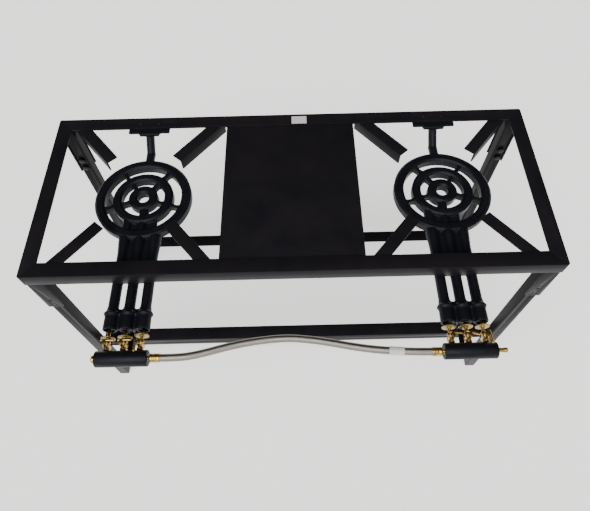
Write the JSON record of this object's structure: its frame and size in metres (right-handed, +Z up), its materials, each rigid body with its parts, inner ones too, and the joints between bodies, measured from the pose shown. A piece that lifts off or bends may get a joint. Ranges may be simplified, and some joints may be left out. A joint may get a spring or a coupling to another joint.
{
  "type": "propane burner stand",
  "caption": "Free-standing gas stand: angle-iron table frame with cast-iron ring burners, pot supports, brass taps and manifolds joined by a braided hose.",
  "frame": {"origin": "on the floor, at the centre of the bounding box in plan (the frame reaches y = -116.75 to 270.25 mm and the manifolds y = -270.25 mm)", "axes": "+Z up, +X to the right along the stand's width, +Y to the back; the gas taps are at the front, -Y"},
  "size_m": [1, 0.5404, 0.5925],
  "materials": {
    "black_paint": "semi-gloss",
    "cast_iron": "matt",
    "brass": "brass, machined",
    "pale_brass": "pressed brass, dull",
    "black_zinc_steel": "black passivated zinc",
    "steel_braid": "woven wire"
  },
  "bodies": {
    "stand": {"front_rail": "black_paint", "back_rail": "black_paint", "left_rail": "black_paint", "right_rail": "black_paint", "centre_plate": "black_paint", "left_support_front_outer": "black_paint", "left_support_front_inner": "black_paint", "left_support_back_outer": "black_paint", "left_support_back_inner": "black_paint", "right_support_front_outer": "black_paint", "right_support_front_inner": "black_paint", "right_support_back_outer": "black_paint", "right_support_back_inner": "black_paint", "front_left_bracket": "black_paint", "front_right_bracket": "black_paint", "back_left_bracket": "black_paint", "back_right_bracket": "black_paint", "front_left_leg": "black_paint", "front_right_leg": "black_paint", "back_left_leg": "black_paint", "back_right_leg": "black_paint", "leg_bolts": "black_zinc_steel", "lower_front_rail": "black_paint", "lower_back_rail": "black_paint", "lower_rail_bolts": "black_zinc_steel", "lower_rail_nuts": "black_zinc_steel", "left_burner": "cast_iron", "right_burner": "cast_iron", "hanger_bolts": "black_paint", "hanger_nuts": "black_zinc_steel", "left_front_clip": "black_paint", "right_front_clip": "black_paint", "clip_bolts": "black_zinc_steel", "left_manifold": "cast_iron", "right_manifold": "cast_iron", "left_strap": "black_paint", "right_strap": "black_paint", "strap_screws": "black_zinc_steel", "left_tap_bodies": "brass", "right_tap_bodies": "brass", "left_jets": "brass", "right_jets": "brass", "end_plug": "brass", "left_hose_ferrule": "brass", "right_hose_ferrule": "brass", "inlet_barb": "brass", "braided_hose": "steel_braid"},
    "left_outer_tap": {"left_lever_outer": "brass"},
    "left_outer_air": {"left_shutter_outer": "pale_brass"},
    "left_middle_tap": {"left_lever_middle": "brass"},
    "left_middle_air": {"left_shutter_middle": "pale_brass"},
    "left_inner_tap": {"left_lever_inner": "brass"},
    "left_inner_air": {"left_shutter_inner": "pale_brass"},
    "right_inner_tap": {"right_lever_inner": "brass"},
    "right_inner_air": {"right_shutter_inner": "pale_brass"},
    "right_middle_tap": {"right_lever_middle": "brass"},
    "right_middle_air": {"right_shutter_middle": "pale_brass"},
    "right_outer_tap": {"right_lever_outer": "brass"},
    "right_outer_air": {"right_shutter_outer": "pale_brass"}
  },
  "joints": [
    {"name": "left_outer_tap_turn", "type": "hinge", "parent": "stand", "child": "left_outer_tap", "pos_m": [-0.3325, -0.23175, 0.54], "axis": [0, 0, 1], "range_deg": [-90, 0]},
    {"name": "left_outer_air_slide", "type": "slide", "parent": "stand", "child": "left_outer_air", "axis": [0, 1, 0], "range_m": [-0.0003, 0.0125]},
    {"name": "left_middle_tap_turn", "type": "hinge", "parent": "stand", "child": "left_middle_tap", "pos_m": [-0.3025, -0.23175, 0.54], "axis": [0, 0, 1], "range_deg": [-90, 0]},
    {"name": "left_middle_air_slide", "type": "slide", "parent": "stand", "child": "left_middle_air", "axis": [0, 1, 0], "range_m": [-0.0018, 0.011]},
    {"name": "left_inner_tap_turn", "type": "hinge", "parent": "stand", "child": "left_inner_tap", "pos_m": [-0.2725, -0.23175, 0.54], "axis": [0, 0, 1], "range_deg": [0, 94]},
    {"name": "left_inner_air_slide", "type": "slide", "parent": "stand", "child": "left_inner_air", "axis": [0, 1, 0], "range_m": [-0.0048, 0.008]},
    {"name": "right_inner_tap_turn", "type": "hinge", "parent": "stand", "child": "right_inner_tap", "pos_m": [0.2775, -0.23175, 0.54], "axis": [0, 0, 1], "range_deg": [-83, 7]},
    {"name": "right_inner_air_slide", "type": "slide", "parent": "stand", "child": "right_inner_air", "axis": [0, 1, 0], "range_m": [-0.0073, 0.0055]},
    {"name": "right_middle_tap_turn", "type": "hinge", "parent": "stand", "child": "right_middle_tap", "pos_m": [0.3075, -0.23175, 0.54], "axis": [0, 0, 1], "range_deg": [-71, 19]},
    {"name": "right_middle_air_slide", "type": "slide", "parent": "stand", "child": "right_middle_air", "axis": [0, 1, 0], "range_m": [-0.0073, 0.0055]},
    {"name": "right_outer_tap_turn", "type": "hinge", "parent": "stand", "child": "right_outer_tap", "pos_m": [0.3375, -0.23175, 0.54], "axis": [0, 0, 1], "range_deg": [-4, 86]},
    {"name": "right_outer_air_slide", "type": "slide", "parent": "stand", "child": "right_outer_air", "axis": [0, 1, 0], "range_m": [-0.0073, 0.0055]}
  ]
}
